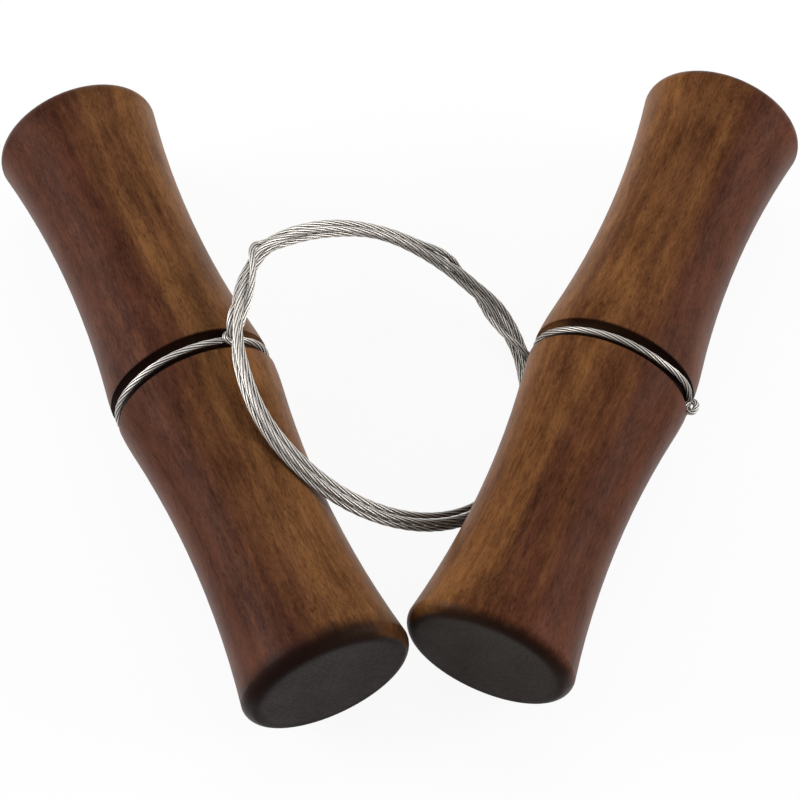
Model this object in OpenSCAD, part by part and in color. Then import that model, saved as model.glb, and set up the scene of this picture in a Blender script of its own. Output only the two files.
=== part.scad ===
// Clay cutter: two turned wooden handles joined by a stranded steel cutting wire.
// The wire is stored as a coil between the handles, and ends in a noose round each one.
// Origin: middle of the handles' footprint, on the surface they lie on. +Z up, +Y away.

/* [Handles] */
// Length of the left handle
left_handle_l = 101.5; // [95:0.1:110]
// Length of the right handle
right_handle_l = 99.8; // [95:0.1:110]
// Diameter of both handles at their end rims
handle_d = 25; // [24.4:0.1:27]
// Diameter of both handles at their waists
waist_d = 21.1; // [20.4:0.1:22]
// Distance of each waist from the middle of its handle
waist_pos = 25.2; // [24:0.1:27]
// Rounding radius of the crest in the middle of each handle
crest_r = 36; // [30:1:42]
// Rounding radius of the end rims
edge_r = 2; // [1:0.1:3]

/* [Grooves] */
// Width of the left handle's groove at its lips
left_groove_w = 3.4; // [3:0.1:4]
// Depth of the left handle's groove
left_groove_depth = 1.4; // [1.3:0.05:1.6]
// Distance of the left groove from the handle's middle, towards the far end
left_groove_pos = 0.5; // [-1:0.1:1]
// Width of the right handle's groove at its lips
right_groove_w = 3; // [2.9:0.1:3.6]
// Depth of the right handle's groove
right_groove_depth = 1.4; // [1.35:0.05:1.55]
// Distance of the right groove from the handle's middle, towards the far end
right_groove_pos = -0.8; // [-1.2:0.1:1]

/* [Wire] */
// Diameter of the stranded wire
wire_d = 0.95; // [0.8:0.05:1]
// Running gap between a groove's floor and its noose
noose_gap = 0.4; // [0.3:0.05:0.5]
// Sideways offset of the left noose in its groove, towards the far end
left_noose_shift = 0; // [-0.5:0.1:0.5]
// Sideways offset of the right noose, which leaves room for the wire beside it
right_noose_shift = 0.5; // [0.4:0.1:0.6]
// Clear height inside the small eye that closes each noose
eye_gap = 0.5; // [0.4:0.05:0.6]
// Straight length of the sides of each eye
eye_straight = 0.4; // [0.1:0.1:0.4]
// Rise of the right eye off its noose
eye_rise = -0.1; // [-0.15:0.05:0.1]
// Place of the left eye round its handle, up from the right-hand side
left_eye_angle = 58; // [50:1:60]
// Place of the right eye round its handle, up from the right-hand side
right_eye_angle = 1; // [-5:1:3]

/* [Coil] */
// Mean diameter of the coil
coil_d = 49.2; // [47:0.1:50]
// Thickness of the bundle of turns
bundle_d = 2.3; // [2:0.1:2.4]
// Slope of the coil, with its left side up on the left handle
coil_tilt = 30.5; // [28:0.5:31]
// Slope of the coil away from the viewer
coil_nod = -2; // [-3:0.5:0]
// Gap between the coil and the surface below it
coil_lift = 0.2; // [0.1:0.05:0.4]
// Distance of the coil's centre to the right of the handles' middles
coil_across = -2.5; // [-3:0.1:-2]
// Distance of the coil's centre beyond the handles' middles
coil_beyond = 1.7; // [1:0.1:2.5]

/* [Layout] */
// Angle of the left handle from straight ahead
left_lean = 23.8; // [22:0.1:26]
// Angle of the right handle from straight ahead
right_lean = 22.8; // [21:0.1:25]
// Gap between the handles at their near ends
near_gap = 1; // [0.6:0.1:3]
// Direction of that gap seen from above, from straight right
near_gap_dir = 43; // [35:1:50]

/* [Hidden] */

wood = "saddlebrown";
steel = "silver";
fine = 96;
handle_r = handle_d / 2;
eye_r = (eye_gap + wire_d) / 2;

// Route of the wire from the left eye up into the coil, in millimetres
left_route = [[-24.3, 1.8, 22.9], [-24.4, 2.4, 23.8], [-24.1, 3.5, 24.6], [-23.3, 4.9, 24.9],
              [-22.4, 6.1, 24.9], [-21.7, 7.6, 25.0]];
// Route of the wire from the coil, under the right handle and up its groove to the right eye
right_route = [[16.2, 13.9, 3.4], [17.5, 12.4, 3.8], [18.7, 11.6, 3.5], [22.3, 8.6, 1.1],
               [24.1, 5.6, 0.6], [26.2, 2.9, 0.6], [28.6, 1.5, 0.6], [30.6, 0.7, 0.6],
               [33.4, -0.5, 1.0], [36.1, -1.6, 2.2], [38.4, -2.6, 4.2], [40.0, -3.3, 6.5],
               [41.0, -3.7, 8.8], [41.5, -3.9, 10.8], [42.0, -4.0, 12.6]];
lead_sides = 8;
lead_step = 2.3;

// Radius of the arc that hollows a handle between its crest and its end rim
function scallop_r(length) =
    let (run = length / 2 - edge_r - waist_pos, rise = (handle_d - waist_d) / 2)
    (run * run + rise * rise) / (2 * rise);

// Distance of the crest arc's centre from the handle's axis, so that it meets both scallops
function crest_centre(length) =
    waist_d / 2 + scallop_r(length)
    - sqrt(pow(scallop_r(length) + crest_r, 2) - waist_pos * waist_pos);

// Greatest radius of a handle at its crest, before the groove is cut
function crest_top(length) = crest_centre(length) + crest_r;

// Radius of the turning tool's nose that cuts a groove of this width and depth
function nose_r(width, depth) = (width * width / 4 + depth * depth) / (2 * depth);

// Radius of a noose's centre line round its groove
function noose_r(length, depth) = crest_top(length) - depth + noose_gap + wire_d / 2;

// Directions along and across a handle that leans by an angle, seen from above
function along(lean) = [sin(lean), cos(lean)];
function across(lean) = [cos(lean), -sin(lean)];

// From a handle's middle to the middle of its rim's rounding, on the side given as -1 or 1
function rim_offset(length, lean, side) =
    -along(lean) * (length / 2 - edge_r) + side * across(lean) * (handle_r - edge_r);

// Half of the footprint of a handle in x and y
function half_span(length, lean) =
    let (reach = length / 2 - edge_r, thick = handle_r - edge_r, turn = abs(lean))
    [reach * sin(turn) + thick * cos(turn) + edge_r,
     reach * cos(turn) + thick * sin(turn) + edge_r];

// Handle middles: first with the left rim at the origin, then moved to centre the footprint
left_first = -rim_offset(left_handle_l, -left_lean, 1);
right_first = (2 * edge_r + near_gap) * [cos(near_gap_dir), sin(near_gap_dir)]
    - rim_offset(right_handle_l, right_lean, -1);
left_half = half_span(left_handle_l, left_lean);
right_half = half_span(right_handle_l, right_lean);
span_low = [for (i = [0, 1]) min(left_first[i] - left_half[i], right_first[i] - right_half[i])];
span_high = [for (i = [0, 1]) max(left_first[i] + left_half[i], right_first[i] + right_half[i])];
left_mid = left_first - (span_low + span_high) / 2;
right_mid = right_first - (span_low + span_high) / 2;
coil_mid = (left_mid + right_mid) / 2 + [coil_across, coil_beyond];
coil_z = coil_d / 2 * sin(coil_tilt) + bundle_d / 2 + coil_lift;

// Point on a smooth curve through four route points, a share t of the way from b to c
function curve_point(a, b, c, d, t) =
    0.5 * (2 * b + (c - a) * t + (2 * a - 5 * b + 4 * c - d) * t * t
    + (3 * b - 3 * c + d - a) * t * t * t);

// Smooth curve through a route, with a point about every lead_step
function curve(route) =
    let (last = len(route) - 1)
    [for (i = [0 : last - 1])
        let (a = route[max(i - 1, 0)], b = route[i], c = route[i + 1], d = route[min(i + 2, last)],
             parts = max(1, ceil(norm(c - b) / lead_step)))
        for (k = [0 : parts - (i == last - 1 ? 0 : 1)]) curve_point(a, b, c, d, k / parts)];

function unit(v) = v / norm(v);
function run_of(path, i) = unit(path[min(i + 1, len(path) - 1)] - path[max(i - 1, 0)]);
function square_to(v, run) = unit(v - (v * run) * run);

// Sideways direction at each point of a path, carried along without twist
function sides_of(path) =
    [for (i = 0, u = square_to([1, 0.2, 0.1], run_of(path, 0)); i < len(path);
          i = i + 1, u = i < len(path) ? square_to(u, run_of(path, i)) : u) u];

// Round wire swept along a route
module wire_tube(route) {
    path = curve(route);
    sides = sides_of(path);
    rings = len(path);
    points = [for (i = [0 : rings - 1])
        let (u = sides[i], v = cross(run_of(path, i), u))
        for (k = [0 : lead_sides - 1])
            let (turn = 360 * k / lead_sides)
            path[i] + wire_d / 2 * (cos(turn) * u + sin(turn) * v)];
    walls = [for (i = [0 : rings - 2], k = [0 : lead_sides - 1])
        let (next = (k + 1) % lead_sides, ring = i * lead_sides, above = ring + lead_sides)
        [ring + k, above + k, above + next, ring + next]];
    start_cap = [[for (k = [0 : lead_sides - 1]) k]];
    end_cap = [[for (k = [lead_sides - 1 : -1 : 0]) (rings - 1) * lead_sides + k]];
    polyhedron(points = points, faces = concat(start_cap, walls, end_cap), convexity = 6);
}

// Places a piece on a handle: +X across it to the right, +Y along it, origin on its axis
module on_handle(mid, lean) {
    translate([mid[0], mid[1], handle_r]) rotate([0, 0, -lean]) children();
}

// Outline of half a handle: radius along X, length along Y
module handle_outline(length, groove_w, groove_depth, groove_pos) {
    scallop = scallop_r(length);
    crest_half = waist_pos * crest_r / (scallop + crest_r);
    nose = nose_r(groove_w, groove_depth);
    difference() {
        union() {
            translate([0, -length / 2]) square([handle_r - edge_r, length]);
            translate([0, edge_r - length / 2]) square([handle_r, length - 2 * edge_r]);
            for (side = [-1, 1])
                translate([handle_r - edge_r, side * (length / 2 - edge_r)])
                    circle(r = edge_r, $fn = fine);
        }
        for (side = [-1, 1])
            translate([waist_d / 2 + scallop, side * waist_pos]) circle(r = scallop, $fn = 4 * fine);
        difference() {
            translate([crest_centre(length), -crest_half])
                square([crest_r + handle_d, 2 * crest_half]);
            translate([crest_centre(length), 0]) circle(r = crest_r, $fn = 4 * fine);
        }
        translate([crest_top(length) - groove_depth + nose, groove_pos])
            circle(r = nose, $fn = fine);
    }
}

// Turned handle with its groove
module handle(length, groove_w, groove_depth, groove_pos) {
    rotate([-90, 0, 0]) rotate_extrude($fn = fine)
        handle_outline(length, groove_w, groove_depth, groove_pos);
}

// Ring of wire that lies in a groove
module noose(radius, place) {
    translate([0, place, 0]) rotate([-90, 0, 0]) rotate_extrude($fn = fine)
        translate([radius, 0]) circle(d = wire_d, $fn = 24);
}

// Oval eye of wire, long along Y
module eye() {
    for (side = [-1, 1]) {
        translate([0, side * eye_straight / 2, 0]) rotate([0, 0, side > 0 ? 0 : 180])
            rotate_extrude(angle = 180, $fn = 48)
                translate([eye_r, 0]) circle(d = wire_d, $fn = 24);
        translate([side * eye_r, -eye_straight / 2, 0]) rotate([-90, 0, 0])
            cylinder(d = wire_d, h = eye_straight, $fn = 24);
    }
}

module left_handle() {
    color(wood) on_handle(left_mid, -left_lean)
        handle(left_handle_l, left_groove_w, left_groove_depth, left_groove_pos);
}

module right_handle() {
    color(wood) on_handle(right_mid, right_lean)
        handle(right_handle_l, right_groove_w, right_groove_depth, right_groove_pos);
}

module left_noose() {
    color(steel) on_handle(left_mid, -left_lean)
        noose(noose_r(left_handle_l, left_groove_depth), left_groove_pos + left_noose_shift);
}

module right_noose() {
    color(steel) on_handle(right_mid, right_lean)
        noose(noose_r(right_handle_l, right_groove_depth), right_groove_pos + right_noose_shift);
}

// The left eye lies flat on its noose, under the coil
module left_knot() {
    seat = noose_r(left_handle_l, left_groove_depth) + wire_d / 2;
    color(steel) on_handle(left_mid, -left_lean)
        rotate([0, -left_eye_angle, 0]) translate([seat, left_groove_pos, 0])
            rotate([0, 90, 0]) rotate([0, 0, 90]) eye();
}

// The right eye stands across its groove and holds the wire that comes back under the handle
module right_knot() {
    seat = noose_r(right_handle_l, right_groove_depth) + eye_r + eye_rise;
    color(steel) on_handle(right_mid, right_lean)
        rotate([0, -right_eye_angle, 0]) translate([seat, right_groove_pos, 0]) eye();
}

// Outer shape of the stored turns of the cutting wire
module wire_coil() {
    color(steel) translate([coil_mid[0], coil_mid[1], coil_z])
        rotate([coil_nod, coil_tilt, 0]) rotate_extrude($fn = fine)
            translate([coil_d / 2, 0]) circle(d = bundle_d, $fn = 32);
}

module left_lead() {
    color(steel) wire_tube(left_route);
}

module right_lead() {
    color(steel) wire_tube(right_route);
}

left_handle();
right_handle();
left_noose();
right_noose();
left_knot();
right_knot();
wire_coil();
left_lead();
right_lead();
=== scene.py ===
"""Clay cutter: two turned wooden handles joined by a stranded steel wire, stored as a coil."""
import math

import bpy
import numpy as np
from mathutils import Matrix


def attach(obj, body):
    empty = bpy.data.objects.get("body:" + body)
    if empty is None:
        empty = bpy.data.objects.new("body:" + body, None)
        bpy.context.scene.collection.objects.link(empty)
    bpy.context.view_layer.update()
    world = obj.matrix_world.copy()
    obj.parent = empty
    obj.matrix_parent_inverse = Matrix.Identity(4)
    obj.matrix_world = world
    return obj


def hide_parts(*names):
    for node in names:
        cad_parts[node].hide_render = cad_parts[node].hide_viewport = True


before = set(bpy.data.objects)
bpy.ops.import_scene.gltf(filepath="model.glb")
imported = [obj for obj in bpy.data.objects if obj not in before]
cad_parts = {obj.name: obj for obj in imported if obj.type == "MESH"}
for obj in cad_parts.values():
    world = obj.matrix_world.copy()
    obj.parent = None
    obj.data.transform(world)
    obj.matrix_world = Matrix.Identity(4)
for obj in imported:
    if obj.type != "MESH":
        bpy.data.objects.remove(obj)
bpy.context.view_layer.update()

MM = 0.001

# Sizes and places of the cutter, in millimetres and degrees, as its solids have them
WIRE_D = 0.95
LEFT_MID = np.array([-30.0699, -1.2580, 12.5])
RIGHT_MID = np.array([31.1083, 1.8733, 12.5])
LEFT_LEAN = -23.8
RIGHT_LEAN = 22.8
LEFT_HALF = 50.75
RIGHT_HALF = 49.9
LEFT_GROOVE = 0.5
RIGHT_GROOVE = -0.8
LEFT_NOOSE_R = 11.806
RIGHT_NOOSE_R = 11.913
EYE_R = 0.725
EYE_STRAIGHT = 0.4
EYE_RISE = -0.1
LEFT_EYE_ANGLE = 58.0
RIGHT_EYE_ANGLE = 1.0

# The coil's circle: its centre, its mean radius and its slopes
COIL_CENTRE = np.array([-1.9808, 2.0077, 13.8355])
COIL_R = 24.6
COIL_TILT = 30.5
COIL_NOD = -2.0

# Length in which a strand goes once round its wire
STRAND_LAY = 12.0
# Distance between the points that a wire is drawn through: on the free wire, a noose and an eye,
# and on the fine curve from which the free wire is cut
FREE_STEP = 0.42
NOOSE_STEP = 0.45
EYE_STEP = 0.15
CURVE_STEP = 0.05

# ---------------------------------------------------------------- camera

# The photograph's viewing angle: place in metres, tip up from straight down in degrees, and the
# lens in millimetres on a sensor of this width
CAMERA_PLACE = (-0.000065, -0.19531, 0.34653)
CAMERA_TIP = 30.0
CAMERA_LENS = 118.755
CAMERA_SENSOR = 36.0

camera_data = bpy.data.cameras.new("camera")
camera_data.lens = CAMERA_LENS
camera_data.sensor_width = CAMERA_SENSOR
camera_data.clip_start = 0.01
camera_data.clip_end = 20.0
camera = bpy.data.objects.new("camera", camera_data)
camera.location = CAMERA_PLACE
camera.rotation_euler = (math.radians(CAMERA_TIP), 0.0, 0.0)
bpy.context.scene.collection.objects.link(camera)
bpy.context.scene.camera = camera
bpy.context.scene.view_settings.view_transform = "Standard"

# ---------------------------------------------------------------- route of the wire

# From the left eye up to the outer side of the coil
LEFT_LEAD = [[-24.3, 1.8, 22.9], [-24.45, 2.2, 23.5], [-24.5, 2.9, 24.3], [-24.35, 4, 25.1],
             [-24.05, 5, 25.5]]
# From the coil under the right handle and up its groove to the right eye
RIGHT_LEAD = [[16.5, 13.2, 4.1], [17.6, 12.2, 4], [18.8, 11.3, 3.5], [22.3, 8.6, 1.1],
              [24.1, 5.6, 0.6], [26.2, 2.9, 0.6], [28.6, 1.5, 0.6], [30.6, 0.7, 0.6],
              [33.4, -0.5, 1], [36.1, -1.6, 2.2], [38.4, -2.6, 4.2], [40, -3.3, 6.5],
              [41, -3.7, 8.8], [41.5, -3.9, 10.8], [42, -4, 12.6]]
# Where the wire lies on each pass round the coil: its angle, and how far it lies out from the
# coil's circle and up off it. The angle falls as the wire runs on. The last pass winds round the
# others: under them, up their inner side, back over them in a kink, and along their outer side.
FIRST_PASS = [(171, 0.4, -0.8), (166, 0.6, -0.7), (160, 0.7, -0.7), (154, 0.7, -0.8),
              (150, 0.8, -0.9), (147, 0.7, -1.2), (143, 0.4, -1.5), (139, 0, -1.6),
              (135, -0.3, -1.6), (130, -0.7, -1.3), (124, -1.05, -0.95), (112, -1.3, -0.7),
              (88, -0.5, -0.8), (76, -0.5, -0.7), (63, -0.42, -0.55), (58, -0.4, -0.4),
              (52, -0.42, -0.15), (46, -0.3, 0.2), (40, 0, 0.15), (34, 0.2, -0.15), (24, 0.3, -0.2),
              (12, -0.2, -0.2), (-15, -0.4, -0.1), (-45, -0.8, 0), (-65, -0.7, 0.3),
              (-92, -0.6, 0.45), (-110, -0.58, 0.4), (-122, -0.5, 0.4), (-146, -0.5, 0),
              (-164, -0.6, -0.1), (-176, -0.5, -0.3)]
SECOND_PASS = [(170, -0.3, -0.2), (160, -0.2, -0.5), (154, -0.2, -0.5), (148, -0.1, -0.3),
               (142, -0.1, -0.3), (136, -0.2, -0.4), (130, -0.2, -0.5), (124, -0.25, -0.55),
               (112, -0.3, -0.7), (88, 0.4, -0.7), (76, 0.4, -0.4), (67, 0.55, -0.12),
               (58, 0.48, -0.1), (52, 0.45, -0.1), (46, 0.6, 0.3), (40, 0.8, 0.5), (34, 0.6, 0.7),
               (22, 0.5, 0.7), (10, 0.5, 0.5), (-15, 0.4, 0.3), (-45, 0.2, 0.3), (-65, 0.3, 0.2),
               (-92, 0.3, 0.1), (-110, 0.4, 0.1), (-122, 0.4, 0), (-146, 0.5, 0.1),
               (-164, 0.5, 0.3), (-176, 0.4, 0.2)]
THIRD_PASS = [(170, 0.4, 0.4), (160, 0.4, 0.25), (154, 0.45, 0.25), (148, 0.82, 0.3),
              (142, 0.55, 0.5), (136, 0.05, 0.6), (124, -0.5, 0.3), (112, -0.8, 0.1),
              (88, -0.8, 0.3), (76, -0.5, 0.3), (67, -0.3, 0.4), (58, 0.2, 0.9), (52, 0.5, 0.9),
              (46, 0.9, 1.1), (40, 1.2, 1.3), (34, 1.45, 1.1), (22, 1.4, 0.85), (10, 1.3, 0.7),
              (-15, 1.3, 0.4), (-45, 1.1, 0), (-65, 1.03, -0.37), (-92, 0.92, -0.58),
              (-110, 0.87, -0.7), (-122, 0.8, -0.8), (-146, 0.7, -0.9), (-163, 0.5, -0.8),
              (-170, 0.1, -1.2), (-176, -0.4, -1.5)]
LAST_PASS = [(179.5, -0.9, -1.5), (176.5, -1.2, -1.1), (172.8, -1.19, -0.48), (169.4, -1.18, 0.07),
             (166.3, -0.96, 0.55), (163.2, -0.67, 0.84), (159.8, -0.26, 1.03), (157.1, 0.21, 1.1),
             (154.3, 0.84, 1.05), (152, 1.41, 0.86), (149, 1.82, 0.45), (145.9, 1.82, 0),
             (143.6, 1.41, -0.25), (140.7, 1.05, -0.36), (137.1, 0.91, -0.36), (130, 0.6, 0),
             (124, 0.4, 0), (112, 0.2, 0.1), (88, 0.1, 0.4), (76, 0.4, 0.5), (68, 0.9, 0.9),
             (63, 1.3, 0.5), (58, 1.3, -0.3), (52, 1.1, -0.9), (45.6, 0.24, -0.76),
             (39.8, -0.4, -0.52), (33.6, -0.86, 0.35)]
# Where each noose lies in its groove: the angle up from the handle's right side, and the place
# along the handle. The right one moves over to make room for the wire that comes up beside it.
LEFT_NOOSE_LIE = [(-180, 0.5), (-140, 0.5), (-60, 0.7), (-20, 1.0), (10, 1.1), (40, 0.7),
                  (70, 0.45), (100, 0.45), (140, 0.45), (160, 0.5), (180, 0.5)]
RIGHT_NOOSE_LIE = [(-180, -0.6), (-140, -0.4), (-100, -0.2), (-50, -0.2), (0, 0.0), (18, 0.1),
                   (36, -0.4), (50, -0.8), (65, -0.95), (90, -1.0), (140, -0.9), (180, -0.6)]


def unit(v):
    """Each vector of an array over its own length."""
    return v / np.linalg.norm(v, axis=-1, keepdims=True)


def hermite(at, values, wanted):
    """Cubic Hermite curve through values at the places `at`. Each slope is the mean of the
    slopes on both sides, weighted so that the nearer neighbour counts more."""
    at = np.asarray(at, float)
    values = np.asarray(values, float)
    gap = np.diff(at)
    rise = np.diff(values, axis=0) / gap[:, None]
    slope = np.vstack([rise[:1], np.zeros_like(rise[1:]), rise[-1:]])
    near = (gap[1:] / (gap[1:] + gap[:-1]))[:, None]
    slope[1:-1] = rise[:-1] * near + rise[1:] * (1 - near)
    i = np.clip(np.searchsorted(at, wanted) - 1, 0, len(at) - 2)
    t = ((wanted - at[i]) / gap[i])[:, None]
    h = gap[i][:, None]
    return ((1 + 2 * t) * (1 - t) ** 2 * values[i] + t * (1 - t) ** 2 * h * slope[i]
            + t * t * (3 - 2 * t) * values[i + 1] + t * t * (t - 1) * h * slope[i + 1])


def coil_axes():
    """Unit vectors of the coil: to its low right side, away from the viewer, and up off it."""
    b, a = math.radians(COIL_TILT), math.radians(COIL_NOD)
    right = np.array([math.cos(b), 0.0, -math.sin(b)])
    away = np.array([math.sin(b) * math.sin(a), math.cos(a), math.cos(b) * math.sin(a)])
    up = np.array([math.sin(b) * math.cos(a), -math.sin(a), math.cos(b) * math.cos(a)])
    return right, away, up


def coil_points():
    """Turns of the coil, one point a degree: centre + (radius + out) along the spoke at that
    angle + up along the coil's axis. Each pass goes on a whole turn after the one before it."""
    passes = [FIRST_PASS, SECOND_PASS, THIRD_PASS, LAST_PASS]
    stations = np.array([(360.0 * n - angle, out, up)
                         for n, one in enumerate(passes) for angle, out, up in one])
    turn = np.arange(stations[0, 0], stations[-1, 0], 1.0)
    out, up = hermite(stations[:, 0], stations[:, 1:], turn).T
    right, away, axis = coil_axes()
    angle = np.radians(-turn)[:, None]
    spoke = np.cos(angle) * right + np.sin(angle) * away
    return COIL_CENTRE + (COIL_R + out)[:, None] * spoke + up[:, None] * axis


def evenly(points, step):
    """Smooth curve through points, by the chord's length, cut into even steps."""
    points = np.asarray(points, float)
    run = np.r_[0.0, np.cumsum(np.linalg.norm(np.diff(points, axis=0), axis=1))]
    fine = hermite(run, points, np.arange(0.0, run[-1], CURVE_STEP))
    run = np.r_[0.0, np.cumsum(np.linalg.norm(np.diff(fine, axis=0), axis=1))]
    wanted = np.linspace(0.0, run[-1], int(round(run[-1] / step)) + 1)
    return np.stack([np.interp(wanted, run, fine[:, k]) for k in range(3)], 1)


# ---------------------------------------------------------------- meshes

def grid_faces(rows, columns, close_rows=False):
    """Quads of a grid that closes on itself across its columns, and along its rows if asked."""
    r = np.arange(rows if close_rows else rows - 1)[:, None]
    c = np.arange(columns)[None, :]
    r2, c2 = (r + 1) % rows, (c + 1) % columns
    return np.stack([r * columns + c, r * columns + c2, r2 * columns + c2, r2 * columns + c],
                    -1).reshape(-1, 4)


def new_piece(name, points, faces, body, material, marks=None):
    """A smooth mesh at the origin, given in millimetres, that rides on a body."""
    mesh = bpy.data.meshes.new(name)
    mesh.from_pydata((np.asarray(points) * MM).tolist(), [], [list(f) for f in faces])
    mesh.polygons.foreach_set("use_smooth", np.ones(len(mesh.polygons), bool))
    for mark, values in (marks or {}).items():
        mesh.attributes.new(mark, "FLOAT", "POINT").data.foreach_set(
            "value", np.asarray(values, np.float32))
    mesh.validate()
    mesh.update()
    piece = bpy.data.objects.new(name, mesh)
    bpy.context.scene.collection.objects.link(piece)
    mesh.materials.append(material)
    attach(piece, body)
    return piece


def carried_frame(path, closed=False):
    """Two normals along a path, free of twist: a normal square to a fixed direction is turned
    back by the angle that it has turned about the path so far."""
    if closed:
        run = unit(np.roll(path, -1, 0) - np.roll(path, 1, 0))
    else:
        run = unit(np.gradient(path, axis=0))
    fixed = np.array([0.31, 0.88, -0.36])
    a = unit(fixed - (run @ fixed)[:, None] * run)
    b = np.cross(run, a)
    turned = np.r_[0.0, np.cumsum((np.diff(a, axis=0) * (b[:-1] + b[1:]) / 2).sum(1))]
    c, s = np.cos(turned)[:, None], np.sin(turned)[:, None]
    return a * c - b * s, a * s + b * c


def strands(path, normals, turns, closed=False, sides=8, wire_r=WIRE_D / 2):
    """Six strands laid in a helix round a core, each a third of the wire thick: strand k's line
    is path + 2/3 r (cos w a + sin w b), w = turns' share + k/6 of a turn, and its skin is
    a circle of r/3 square to that line. Gives points, faces, how deep each point lies (0 on the
    outside, 1 at the core), and a shade from 0 to 1 for each strand."""
    a, b = normals
    rings = len(path)
    share = np.arange(rings) / (rings if closed else rings - 1)
    thread = wire_r / 3
    points, faces, depth, which = [], [], [], []
    around = np.linspace(0, 2 * np.pi, sides, endpoint=False)
    for k in range(6):
        w = (2 * np.pi * (turns * share + k / 6))[:, None]
        spoke = np.cos(w) * a + np.sin(w) * b
        line = path + 2 * thread * spoke
        run = (unit(np.roll(line, -1, 0) - np.roll(line, 1, 0)) if closed
               else unit(np.gradient(line, axis=0)))
        out = unit(spoke - (spoke * run).sum(1)[:, None] * run)
        side = np.cross(run, out)
        skin = line[:, None] + thread * (np.cos(around)[None, :, None] * out[:, None]
                                         + np.sin(around)[None, :, None] * side[:, None])
        start = sum(len(p) for p in points)
        points.append(skin.reshape(-1, 3))
        faces += (grid_faces(rings, sides, closed) + start).tolist()
        depth.append(np.tile((1 - np.cos(around)) / 2, rings))
        which.append(np.full(rings * sides, ((k * 5) % 6) / 5))
        if not closed:
            faces.append(list(range(start + sides - 1, start - 1, -1)))
            faces.append(list(range(start + (rings - 1) * sides, start + rings * sides)))
    return np.vstack(points), faces, np.concatenate(depth), np.concatenate(which)


def core(path, normals, closed=False, sides=6, wire_r=WIRE_D / 2):
    """The straight middle strand: a circle of r/3 carried along the path."""
    a, b = normals
    around = np.linspace(0, 2 * np.pi, sides, endpoint=False)
    skin = path[:, None] + wire_r / 3 * (np.cos(around)[None, :, None] * a[:, None]
                                         + np.sin(around)[None, :, None] * b[:, None])
    faces = grid_faces(len(path), sides, closed).tolist()
    if not closed:
        faces.append(list(range(sides - 1, -1, -1)))
        faces.append(list(range((len(path) - 1) * sides, len(path) * sides)))
    return skin.reshape(-1, 3), faces


def steel_wire(name, path, normals, lay, body, material, closed=False):
    """A stranded wire along a path: six laid strands and their core, as one mesh."""
    length = np.linalg.norm(np.diff(path, axis=0), axis=1).sum()
    turns = max(1, round(length / lay)) if closed else length / lay
    points, faces, depth, which = strands(path, normals, turns, closed)
    middle, middle_faces = core(path[::3], [n[::3] for n in normals], closed)
    faces += [[i + len(points) for i in f] for f in middle_faces]
    marks = {"depth": np.r_[depth, np.ones(len(middle))],
             "strand": np.r_[which, np.zeros(len(middle))]}
    return new_piece(name, np.vstack([points, middle]), faces, body, material, marks)


def on_handle(points, middle, lean):
    """From a handle's own axes (X across it to the right, Y along it) to the cutter's."""
    turn = math.radians(-lean)
    c, s = math.cos(turn), math.sin(turn)
    x, y, z = np.asarray(points, float).T
    return np.stack([c * x - s * y, s * x + c * y, z], 1) + middle


def noose_ring(radius, lie, middle, lean, step=NOOSE_STEP):
    """Ring of wire in its groove: radius (cos t, 0, sin t), and along the handle the place that
    a smooth curve through the lie's stations gives at t. Ends meet because both agree at 180."""
    count = int(round(2 * np.pi * radius / step / 3)) * 3
    t = np.linspace(-np.pi, np.pi, count, endpoint=False)
    lie = np.array(lie, float)
    at = hermite(lie[:, 0], lie[:, 1:], np.degrees(t))[:, 0]
    spoke = np.stack([np.cos(t), 0 * t, np.sin(t)], 1)
    place = on_handle(radius * spoke + np.stack([0 * t, at, 0 * t], 1), middle, lean)
    out = on_handle(spoke, np.zeros(3), lean)
    run = unit(np.roll(place, -1, 0) - np.roll(place, 1, 0))
    first = unit(out - (out * run).sum(1)[:, None] * run)
    return place, (first, np.cross(run, first))


def eye_line(step=EYE_STEP):
    """Oval eye flat in XY, long along Y: two half circles of EYE_R and two straights."""
    arc = np.pi * EYE_R
    total = 2 * arc + 2 * EYE_STRAIGHT
    count = int(round(total / step / 3)) * 3
    s = np.linspace(0, total, count, endpoint=False)
    h = EYE_STRAIGHT / 2
    legs = [s < arc, s < arc + EYE_STRAIGHT, s < 2 * arc + EYE_STRAIGHT, s <= total]
    x = np.select(legs, [EYE_R * np.cos(s / EYE_R), -EYE_R,
                         -EYE_R * np.cos((s - arc - EYE_STRAIGHT) / EYE_R), EYE_R])
    y = np.select(legs, [h + EYE_R * np.sin(s / EYE_R), h - (s - arc),
                         -h - EYE_R * np.sin((s - arc - EYE_STRAIGHT) / EYE_R),
                         -h + (s - 2 * arc - EYE_STRAIGHT)])
    return np.stack([x, y, 0 * s], 1)


def turned(points, angle):
    """Points turned about the handle's own Y axis, up from its right-hand side."""
    c, s = math.cos(math.radians(angle)), math.sin(math.radians(angle))
    x, y, z = np.asarray(points, float).T
    return np.stack([c * x - s * z, y, s * x + c * z], 1)


# ---------------------------------------------------------------- materials

def add_node(tree, kind, place, **values):
    """A new node of a kind, at a place in the tree, with its settings."""
    node = tree.nodes.new(kind)
    node.location = place
    for key, value in values.items():
        setattr(node, key, value)
    return node


def put(tree, node, socket, value):
    """Link a socket to another node's output, or set it."""
    target = node.inputs[socket]
    if isinstance(value, bpy.types.NodeSocket):
        tree.links.new(value, target)
    else:
        target.default_value = value


def sum_of(tree, operation, a, b=None, place=(0, 0)):
    """The result of one sum, such as ADD or MULTIPLY, on one or two values."""
    node = add_node(tree, "ShaderNodeMath", place, operation=operation)
    put(tree, node, 0, a)
    if b is not None:
        put(tree, node, 1, b)
    return node.outputs[0]


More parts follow.
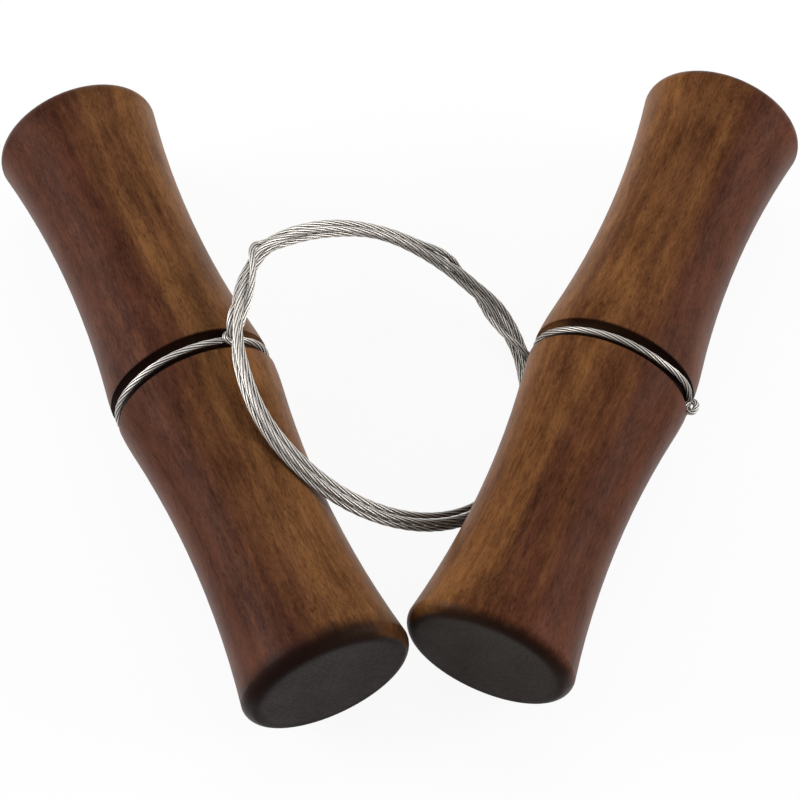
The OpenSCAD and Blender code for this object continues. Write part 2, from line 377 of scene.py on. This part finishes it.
def span(tree, value, low, high, to_low=0.0, to_high=1.0, place=(0, 0), smooth=False):
    """A value's place between low and high, held inside to_low and to_high."""
    node = add_node(tree, "ShaderNodeMapRange", place,
                    interpolation_type="SMOOTHSTEP" if smooth else "LINEAR")
    for socket, number in (("Value", value), ("From Min", low), ("From Max", high),
                           ("To Min", to_low), ("To Max", to_high)):
        put(tree, node, socket, number)
    return node.outputs["Result"]


def mixed(tree, share, a, b, place=(0, 0)):
    """Colour a going over to colour b by a share."""
    node = add_node(tree, "ShaderNodeMix", place, data_type="RGBA", blend_type="MIX")
    put(tree, node, 0, share)
    put(tree, node, 6, a)
    put(tree, node, 7, b)
    return node.outputs[2]


def noise(tree, vector, scale, detail=2.0, roughness=0.5, place=(0, 0)):
    """Value of a noise texture at a point."""
    node = add_node(tree, "ShaderNodeTexNoise", place)
    put(tree, node, "Vector", vector)
    put(tree, node, "Scale", scale)
    put(tree, node, "Detail", detail)
    put(tree, node, "Roughness", roughness)
    return node.outputs["Fac"]


def stretched(tree, vector, scale, place=(0, 0)):
    """A point with each of its three coordinates times its own scale."""
    node = add_node(tree, "ShaderNodeMapping", place)
    put(tree, node, "Vector", vector)
    node.inputs["Scale"].default_value = scale
    return node.outputs["Vector"]


def new_group(name, inputs, outputs):
    """An empty node group with named inputs and outputs."""
    tree = bpy.data.node_groups.new(name, "ShaderNodeTree")
    for label, kind, value in inputs:
        socket = tree.interface.new_socket(name=label, in_out="INPUT", socket_type=kind)
        if value is not None:
            socket.default_value = value
    for label, kind in outputs:
        tree.interface.new_socket(name=label, in_out="OUTPUT", socket_type=kind)
    start = add_node(tree, "NodeGroupInput", (-1400, 0))
    end = add_node(tree, "NodeGroupOutput", (900, 0))
    return tree, start, end


# Layers of the grain: scale across, along and across the fibres, detail, roughness, and weight in
# the tone
GRAIN_LAYERS = {
    "fibre": ((2.0, 0.38, 2.0), 5.0, 0.74, 0.33),
    "streak": ((0.62, 0.045, 0.62), 4.0, 0.62, 0.27),
    "hair": ((6.0, 0.95, 6.0), 2.0, 0.60, 0.27),
    "blotch": ((0.22, 0.11, 0.22), 4.0, 0.65, 0.30),
    "band": ((0.17, 0.012, 0.17), 3.0, 0.60, 0.0),
    "pore": ((4.6, 0.90, 4.6), 1.0, 0.50, 0.0)}


def build_grain_group():
    """Wood grain in a handle's own axes, in millimetres, with the fibres along Y. Fibres and
    hairs are noise drawn out along Y, bands are the slow change of colour across the blank,
    with a drift to one side of it, and flecks are the short dark pores."""
    tree, start, end = new_group(
        "wood_grain",
        [("Position", "NodeSocketVector", None), ("Seed", "NodeSocketFloat", 0.0),
         ("Drift", "NodeSocketFloat", 0.0)],
        [("Tone", "NodeSocketFloat"), ("Band", "NodeSocketFloat"), ("Fleck", "NodeSocketFloat"),
         ("Height", "NodeSocketFloat")])
    shift = add_node(tree, "ShaderNodeCombineXYZ", (-1200, -200))
    for k in range(3):
        put(tree, shift, k, start.outputs["Seed"])
    moved = add_node(tree, "ShaderNodeVectorMath", (-1000, 0), operation="ADD")
    put(tree, moved, 0, start.outputs["Position"])
    put(tree, moved, 1, shift.outputs[0])
    place = moved.outputs[0]
    layers = {}
    tone = None
    for row, (label, (scale, detail, rough, weight)) in enumerate(GRAIN_LAYERS.items()):
        y = -200 * row
        layer = noise(tree, stretched(tree, place, scale, (-800, y)), 1.0, detail, rough, (-600, y))
        layers[label] = layer
        if weight:
            part = sum_of(tree, "MULTIPLY", layer, weight, (-400, y))
            tone = part if tone is None else sum_of(tree, "ADD", tone, part, (-200, y))
    put(tree, end, "Tone", span(tree, tone, 0.46, 0.69, place=(300, 250)))
    parts = add_node(tree, "ShaderNodeSeparateXYZ", (-800, 400))
    put(tree, parts, 0, start.outputs["Position"])
    drift = sum_of(tree, "MULTIPLY", parts.outputs[0], start.outputs["Drift"], (-600, 400))
    band = sum_of(tree, "ADD", sum_of(tree, "MULTIPLY", layers["band"], 0.75, (-300, -600)),
                  sum_of(tree, "MULTIPLY", layers["streak"], 0.25, (-300, -750)), (-150, -600))
    band = sum_of(tree, "ADD", band, drift, (0, -600))
    put(tree, end, "Band", span(tree, band, 0.39, 0.68, place=(200, -600)))
    fleck = span(tree, layers["pore"], 0.62, 0.74, place=(-300, -1000), smooth=True)
    put(tree, end, "Fleck", fleck)
    put(tree, end, "Height", sum_of(tree, "SUBTRACT", sum_of(
        tree, "MULTIPLY", layers["fibre"], 0.7, (300, -200)),
        sum_of(tree, "MULTIPLY", fleck, 0.4, (300, -350)), (500, -250)))
    return tree


def build_turning_group():
    """Places on a turned handle, from a point in its own axes in millimetres: how far it is on
    the end face, on the rim beside that face, and down in the groove. The rim is darkened by grime
    and painted shade, with more painted shade on the near rim than on the far one, and the groove's
    far wall by painted shade; both are painted lighter on the side of the handle that faces the
    light. The rim's edge wavers with a noise. The groove's painted shade covers its far wall and
    stops short of the near lip."""
    tree, start, end = new_group(
        "turned_places",
        [("Position", "NodeSocketVector", None), ("Half length", "NodeSocketFloat", 50.0),
         ("Rim width", "NodeSocketFloat", 3.0), ("Groove", "NodeSocketFloat", 0.0),
         ("Groove half", "NodeSocketFloat", 1.6), ("Open side", "NodeSocketFloat", 1.0)],
        [("End face", "NodeSocketFloat"), ("Rim", "NodeSocketFloat"),
         ("Groove", "NodeSocketFloat")])
    parts = add_node(tree, "ShaderNodeSeparateXYZ", (-1100, 0))
    put(tree, parts, 0, start.outputs["Position"])
    flat = add_node(tree, "ShaderNodeCombineXYZ", (-900, 100))
    put(tree, flat, 0, parts.outputs[0])
    put(tree, flat, 2, parts.outputs[2])
    length = add_node(tree, "ShaderNodeVectorMath", (-700, 100), operation="LENGTH")
    put(tree, length, 0, flat.outputs[0])
    wobble = noise(tree, stretched(tree, start.outputs["Position"], (0.60, 0.20, 0.60),
                                   (-900, 400)), 1.0, 3.0, 0.6, (-700, 400))
    inward = sum_of(tree, "SUBTRACT", start.outputs["Half length"],
                    sum_of(tree, "ABSOLUTE", parts.outputs[1], None, (-900, -150)), (-700, -150))
    put(tree, end, "End face", span(tree, inward, 0.05, 0.5, 1.0, 0.0, (-450, -150), True))
    soft = sum_of(tree, "ADD", inward, sum_of(tree, "MULTIPLY", wobble, 1.4, (-500, 300)),
                  (-300, 100))
    full = sum_of(tree, "MULTIPLY", start.outputs["Rim width"], 0.4, (-300, 0))
    edge = span(tree, soft, full, start.outputs["Rim width"], 1.0, 0.0, (-100, 0), True)
    ring = span(tree, length.outputs["Value"], 9.4, 11.4, place=(-100, 200), smooth=True)
    # Painted shade in the groove: darkest over its far wall, stopping short of the near lip
    beyond = sum_of(tree, "SUBTRACT", parts.outputs[1], start.outputs["Groove"], (-700, -350))
    off = sum_of(tree, "MAXIMUM", beyond, sum_of(tree, "MULTIPLY", beyond, -1.5, (-600, -500)),
                 (-500, -350))
    past = sum_of(tree, "SUBTRACT", off, start.outputs["Groove half"], (-300, -350))
    deep = span(tree, past, -0.10, 0.38, 1.0, 0.0, (-100, -350), True)
    # Painted light: rim and groove are painted lighter on the side of the handle that faces the
    # light
    towards = sum_of(tree, "MULTIPLY", parts.outputs[0], start.outputs["Open side"], (-300, -550))
    lit_side = span(tree, towards, 6.0, 10.5, 1.0, 0.35, (-100, -550), True)
    # More painted shade on the near rim than on the far one
    near_rim_shade = span(tree, parts.outputs[1], -10.0, 10.0, 1.0, 0.3, (0, 400))
    rim = sum_of(tree, "MULTIPLY", sum_of(tree, "MULTIPLY", edge, ring, (100, 100)), near_rim_shade,
                 (250, 100))
    put(tree, end, "Rim", sum_of(tree, "MULTIPLY", rim, lit_side, (400, 100)))
    put(tree, end, "Groove", sum_of(tree, "MULTIPLY", deep, lit_side, (200, -450)))
    return tree


def build_handling_group():
    """Faint smudges and rubs, large and small, that change how a surface shines."""
    tree, start, end = new_group(
        "handling_marks", [("Position", "NodeSocketVector", None),
                           ("Size", "NodeSocketFloat", 6.0)],
        [("Smudge", "NodeSocketFloat"), ("Speck", "NodeSocketFloat")])
    scaled = add_node(tree, "ShaderNodeVectorMath", (-1000, 0), operation="SCALE")
    put(tree, scaled, 0, start.outputs["Position"])
    put(tree, scaled, "Scale", sum_of(tree, "DIVIDE", 1.0, start.outputs["Size"], (-1200, -200)))
    put(tree, end, "Smudge", span(tree, noise(tree, scaled.outputs[0], 1.0, 3.0, 0.6, (-700, 100)),
                                  0.3, 0.7, place=(-400, 100)))
    put(tree, end, "Speck", span(tree, noise(tree, scaled.outputs[0], 22.0, 2.0, 0.7, (-700, -200)),
                                 0.35, 0.68, place=(-400, -200)))
    return tree


GRAIN = build_grain_group()
TURNING = build_turning_group()
HANDLING = build_handling_group()


def use_group(tree, group, place, **values):
    """A node group placed in a tree, with its inputs linked or set."""
    node = add_node(tree, "ShaderNodeGroup", place, node_tree=group)
    for socket, value in values.items():
        put(tree, node, socket.replace("_", " "), value)
    return node


def new_material(name):
    """An empty material with its shader, linked to the surface."""
    material = bpy.data.materials.new(name)
    material.use_nodes = True
    tree = material.node_tree
    tree.nodes.clear()
    shader = add_node(tree, "ShaderNodeBsdfPrincipled", (1200, 0))
    result = add_node(tree, "ShaderNodeOutputMaterial", (1500, 0))
    tree.links.new(shader.outputs[0], result.inputs["Surface"])
    return material, tree, shader


# Linear colours, and how far the rim's grime and painted shade, the groove's painted shade, flecks
# and the shine of wear go
GROOVE_SHADE_COLOUR = (0.008, 0.003, 0.002, 1.0)
DIRT_AND_SHADE_SHARE = 0.93
FLECK_SHARE = 0.42
WORN_SHARE = 0.43


def wood_material(name, middle, lean, half, groove, groove_half, rim_width, lit_side, seed, drift,
                  red, gold, rim_grime_and_shade, face_colours):
    """Stained brown wood: a dark and a light red brown and a dark and a light golden brown,
    mixed by the grain along the handle, with end grain on the faces, grime and painted shade on
    the rims, painted shade in the groove, both painted lighter on the lit side, and a faint shine
    on worn flanks that are seen from the side."""
    material, tree, shader = new_material(name)
    where = add_node(tree, "ShaderNodeTexCoord", (-1600, 0))
    to_handle = add_node(tree, "ShaderNodeMapping", (-1400, 0), vector_type="TEXTURE")
    put(tree, to_handle, "Vector", where.outputs["Object"])
    to_handle.inputs["Location"].default_value = tuple(middle * MM)
    to_handle.inputs["Rotation"].default_value = (0.0, 0.0, math.radians(-lean))
    to_handle.inputs["Scale"].default_value = (MM, MM, MM)
    place = to_handle.outputs["Vector"]
    grain = use_group(tree, GRAIN, (-1000, 200), Position=place, Seed=seed, Drift=drift)
    spots = use_group(tree, TURNING, (-1000, -200), Position=place, Half_length=half,
                      Rim_width=rim_width, Groove=groove, Groove_half=groove_half,
                      Open_side=lit_side)
    marks = use_group(tree, HANDLING, (-1000, -500), Position=place, Size=7.0)
    tone = grain.outputs["Tone"]
    wood = mixed(tree, grain.outputs["Band"], mixed(tree, tone, red[0], red[1], (-600, 400)),
                 mixed(tree, tone, gold[0], gold[1], (-600, 200)), (-400, 300))
    fleck = sum_of(tree, "MULTIPLY", grain.outputs["Fleck"], FLECK_SHARE, (-400, 100))
    wood = mixed(tree, fleck, wood, [0.35 * c for c in red[0][:3]] + [1.0], (-200, 300))
    end_grain = noise(tree, stretched(tree, place, (1.6, 1.0, 3.4), (-800, -800)), 1.0, 5.0, 0.7,
                      (-600, -800))
    face = mixed(tree, span(tree, end_grain, 0.3, 0.7, place=(-400, -800)), face_colours[0],
                 face_colours[1], (-200, -700))
    wood = mixed(tree, spots.outputs["End face"], wood, face, (0, 200))
    # The rim darkens with grime and painted shade, the groove with painted shade
    for spot, darker_colour, x in (("Rim", rim_grime_and_shade, 0), ("Groove", GROOVE_SHADE_COLOUR, 200)):
        share = sum_of(tree, "MULTIPLY", spots.outputs[spot], DIRT_AND_SHADE_SHARE, (x, -50))
        wood = mixed(tree, share, wood, darker_colour, (x + 200, 200))
    put(tree, shader, "Base Color", wood)
    rough = sum_of(tree, "ADD", sum_of(tree, "MULTIPLY", marks.outputs["Smudge"], 0.12,
                                       (400, -300)),
                   sum_of(tree, "MULTIPLY", grain.outputs["Fleck"], 0.12, (400, -450)), (600, -300))
    put(tree, shader, "Roughness", sum_of(tree, "ADD", rough, 0.44, (800, -300)))
    bump = add_node(tree, "ShaderNodeBump", (900, -500))
    bump.inputs["Strength"].default_value = 0.25
    bump.inputs["Distance"].default_value = 0.00012
    put(tree, bump, "Height", grain.outputs["Height"])
    put(tree, shader, "Normal", bump.outputs[0])
    shader.inputs["IOR"].default_value = 1.45
    shader.inputs["Specular IOR Level"].default_value = 0.035
    flank = add_node(tree, "ShaderNodeLayerWeight", (200, -700))
    flank.inputs["Blend"].default_value = 0.5
    worn = span(tree, flank.outputs["Facing"], 0.35, 0.85, 0.0, WORN_SHARE, (400, -700), True)
    side = sum_of(tree, "SUBTRACT", 1.0, spots.outputs["End face"], (400, -850))
    put(tree, shader, "Coat Weight", sum_of(tree, "MULTIPLY", worn, side, (600, -750)))
    shader.inputs["Coat Roughness"].default_value = 0.42
    shader.inputs["Coat IOR"].default_value = 1.45
    return material


DULL_STRAND = (0.44, 0.415, 0.385, 1.0)
BRIGHT_STRAND = (0.60, 0.57, 0.535, 1.0)
DRAW_MARK = (0.36, 0.34, 0.31, 1.0)
# Painted shade, with some grime, between the strands
SHADE_AND_GRIME_BETWEEN_STRANDS = (0.052, 0.046, 0.040, 1.0)
# Painted shade for the coil's right side
RIGHT_SIDE_SHADE = (0.12, 0.105, 0.09, 1.0)


def steel_material(name):
    """Drawn steel strands: crowns in the metal's own colours, painted shade and grime between the
    strands, faint draw marks, and painted shade that darkens the coil towards its right side,
    in millimetres along X."""
    material, tree, shader = new_material(name)
    where = add_node(tree, "ShaderNodeTexCoord", (-1600, 0))
    size = add_node(tree, "ShaderNodeVectorMath", (-1400, 0), operation="SCALE")
    put(tree, size, 0, where.outputs["Object"])
    size.inputs["Scale"].default_value = 1 / MM
    marks = use_group(tree, HANDLING, (-1100, 0), Position=size.outputs[0], Size=3.0)
    deep = add_node(tree, "ShaderNodeAttribute", (-1100, -300), attribute_name="depth")
    strand = add_node(tree, "ShaderNodeAttribute", (-1100, -500), attribute_name="strand")
    # Painted shade and grime on the inner side of each strand, where it lies between the others
    between = span(tree, deep.outputs["Fac"], 0.12, 0.48, place=(-800, -300), smooth=True)
    metal = mixed(tree, sum_of(tree, "MULTIPLY", strand.outputs["Fac"], 0.5, (-800, -500)),
                  DULL_STRAND, BRIGHT_STRAND, (-500, 200))
    metal = mixed(tree, sum_of(tree, "MULTIPLY", marks.outputs["Speck"], 0.25, (-500, 0)), metal,
                  DRAW_MARK, (-300, 200))
    metal = mixed(tree, between, metal, SHADE_AND_GRIME_BETWEEN_STRANDS, (-100, 200))
    along = add_node(tree, "ShaderNodeSeparateXYZ", (-1100, 300))
    put(tree, along, 0, size.outputs[0])
    # Painted shade: the steel grows darker towards the coil's right side
    right_side_shade = span(tree, along.outputs[0], -8.0, 16.0, 0.0, 0.32, (-800, 400), True)
    metal = mixed(tree, right_side_shade, metal, RIGHT_SIDE_SHADE, (100, 200))
    put(tree, shader, "Base Color", metal)
    put(tree, shader, "Roughness", sum_of(
        tree, "ADD", sum_of(tree, "MULTIPLY", marks.outputs["Smudge"], 0.14, (0, -200)), 0.38,
        (200, -200)))
    shader.inputs["Metallic"].default_value = 1.0
    return material


# For each handle the rim colour stands for grime and painted shade, and a sign gives the side on
# which rim and groove are painted lighter, towards the light
LEFT_WOOD = wood_material(
    "left_wood", LEFT_MID, LEFT_LEAN, LEFT_HALF, LEFT_GROOVE, groove_half=1.7, rim_width=4.8,
    lit_side=1.0, seed=3.0, drift=0.028,
    red=((0.024, 0.0073, 0.0037, 1.0), (0.082, 0.0275, 0.0145, 1.0)),
    gold=((0.060, 0.0215, 0.0064, 1.0), (0.188, 0.081, 0.028, 1.0)),
    rim_grime_and_shade=(0.008, 0.0035, 0.0025, 1.0),
    face_colours=((0.010, 0.007, 0.006, 1.0), (0.043, 0.034, 0.032, 1.0)))
RIGHT_WOOD = wood_material(
    "right_wood", RIGHT_MID, RIGHT_LEAN, RIGHT_HALF, RIGHT_GROOVE, groove_half=1.5, rim_width=2.7,
    lit_side=-1.0, seed=31.0, drift=-0.024,
    red=((0.028, 0.0084, 0.0037, 1.0), (0.089, 0.0295, 0.0145, 1.0)),
    gold=((0.064, 0.0215, 0.0057, 1.0), (0.188, 0.079, 0.0255, 1.0)),
    rim_grime_and_shade=(0.012, 0.005, 0.003, 1.0),
    face_colours=((0.010, 0.007, 0.006, 1.0), (0.043, 0.033, 0.028, 1.0)))
STEEL = steel_material("strand_steel")

for node, material in (("left_handle", LEFT_WOOD), ("right_handle", RIGHT_WOOD)):
    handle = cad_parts[node]
    handle.data.materials.clear()
    handle.data.materials.append(material)

# ---------------------------------------------------------------- wire pieces

free_line = evenly(np.vstack([LEFT_LEAD, coil_points(), RIGHT_LEAD]), FREE_STEP)
free_wire = steel_wire("cutting_wire_coil", free_line, carried_frame(free_line), STRAND_LAY,
                       "cutting_wire", STEEL)
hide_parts("wire_coil", "left_lead", "right_lead")

for name, radius, lie, middle, lean in (
        ("left_noose", LEFT_NOOSE_R, LEFT_NOOSE_LIE, LEFT_MID, LEFT_LEAN),
        ("right_noose", RIGHT_NOOSE_R, RIGHT_NOOSE_LIE, RIGHT_MID, RIGHT_LEAN)):
    ring, normals = noose_ring(radius, lie, middle, lean)
    piece = steel_wire(name + "_wire", ring, normals, STRAND_LAY, "cutting_wire", STEEL,
                       closed=True)
    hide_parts(name)

# The left eye lies flat on its noose, and the right one stands up across its groove
oval = eye_line()
flat_eye = np.stack([0 * oval[:, 0] + LEFT_NOOSE_R + WIRE_D / 2, oval[:, 0] + LEFT_GROOVE,
                     oval[:, 1]], 1)
left_eye = on_handle(turned(flat_eye, LEFT_EYE_ANGLE), LEFT_MID, LEFT_LEAN)
seat = RIGHT_NOOSE_R + EYE_R + EYE_RISE
standing_eye = oval + [seat, RIGHT_GROOVE, 0]
right_eye = on_handle(turned(standing_eye, RIGHT_EYE_ANGLE), RIGHT_MID, RIGHT_LEAN)
for name, line in (("left_knot", left_eye), ("right_knot", right_eye)):
    piece = steel_wire(name + "_eye", line, carried_frame(line, closed=True), STRAND_LAY,
                       "cutting_wire", STEEL, closed=True)
    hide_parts(name)

# ---------------------------------------------------------------- floor and light

def seen_plainly(tree):
    """1 for what the camera, a reflection or glass shows, and 0 for light that falls on things."""
    rays = add_node(tree, "ShaderNodeLightPath", (-600, 200))
    seen = sum_of(tree, "MAXIMUM", rays.outputs["Is Camera Ray"], rays.outputs["Is Glossy Ray"],
                  (-400, 200))
    return sum_of(tree, "MAXIMUM", seen, rays.outputs["Is Transmission Ray"], (-250, 200))


# The floor's grey and the share of it that glows white, and the strengths at which the world
# lights the cutter and shows
FLOOR_GREY = (0.82, 0.82, 0.82, 1.0)
FLOOR_GLOW = 0.92
WORLD_LIGHT = 0.38
WORLD_SHOWN = 1.0


def stage_material(name, shade, glow):
    """Plain surface that the camera and reflections see as nearly white, and that still takes
    the object's shadow: part diffuse, part light of its own."""
    material = bpy.data.materials.new(name)
    material.use_nodes = True
    tree = material.node_tree
    tree.nodes.clear()
    paint = add_node(tree, "ShaderNodeBsdfDiffuse", (0, 0))
    paint.inputs["Color"].default_value = shade
    light = add_node(tree, "ShaderNodeEmission", (0, -200))
    light.inputs["Strength"].default_value = 1.0
    share = sum_of(tree, "MULTIPLY", seen_plainly(tree), glow, (-100, 200))
    blend = add_node(tree, "ShaderNodeMixShader", (200, 0))
    put(tree, blend, 0, share)
    tree.links.new(paint.outputs[0], blend.inputs[1])
    tree.links.new(light.outputs[0], blend.inputs[2])
    result = add_node(tree, "ShaderNodeOutputMaterial", (400, 0))
    tree.links.new(blend.outputs[0], result.inputs["Surface"])
    return material


floor_mesh = bpy.data.meshes.new("floor")
floor_mesh.from_pydata([(-3, -3, 0), (3, -3, 0), (3, 3, 0), (-3, 3, 0)], [], [(0, 1, 2, 3)])
floor = bpy.data.objects.new("floor", floor_mesh)
floor_mesh.materials.append(stage_material("pale_floor", FLOOR_GREY, FLOOR_GLOW))
bpy.context.scene.collection.objects.link(floor)

world = bpy.data.worlds.new("studio")
bpy.context.scene.world = world
world.use_nodes = True
tree = world.node_tree
tree.nodes.clear()
blend = add_node(tree, "ShaderNodeMixShader", (200, 0))
put(tree, blend, 0, seen_plainly(tree))
for socket, strength in ((1, WORLD_LIGHT), (2, WORLD_SHOWN)):
    sky = add_node(tree, "ShaderNodeBackground", (0, -200 * (socket - 1)))
    sky.inputs["Color"].default_value = (1.0, 1.0, 1.0, 1.0)
    sky.inputs["Strength"].default_value = strength
    tree.links.new(sky.outputs[0], blend.inputs[socket])
result = add_node(tree, "ShaderNodeOutputWorld", (400, 0))
tree.links.new(blend.outputs[0], result.inputs["Surface"])


def soft_light(name, place, aim, size, power):
    """A rectangular lamp that is turned to aim at a point."""
    data = bpy.data.lights.new(name, "AREA")
    data.shape = "RECTANGLE"
    data.size, data.size_y = size
    data.energy = power
    lamp = bpy.data.objects.new(name, data)
    lamp.location = place
    there = np.array(aim) - np.array(place)
    flat = math.hypot(there[0], there[1])
    lamp.rotation_euler = (math.atan2(flat, -there[2]), 0.0, math.atan2(-there[0], there[1]))
    bpy.context.scene.collection.objects.link(lamp)


# Each lamp's place, aim and size in metres, and its power in watts
CUTTER_MIDDLE = (0, 0, 0.01)
soft_light("far_light", (0.05, 0.45, 0.60), CUTTER_MIDDLE, (0.60, 0.40), 1.7)
soft_light("left_light", (-0.60, 0.05, 0.22), CUTTER_MIDDLE, (0.40, 0.30), 4.6)
soft_light("right_light", (0.60, 0.00, 0.22), CUTTER_MIDDLE, (0.40, 0.30), 3.9)
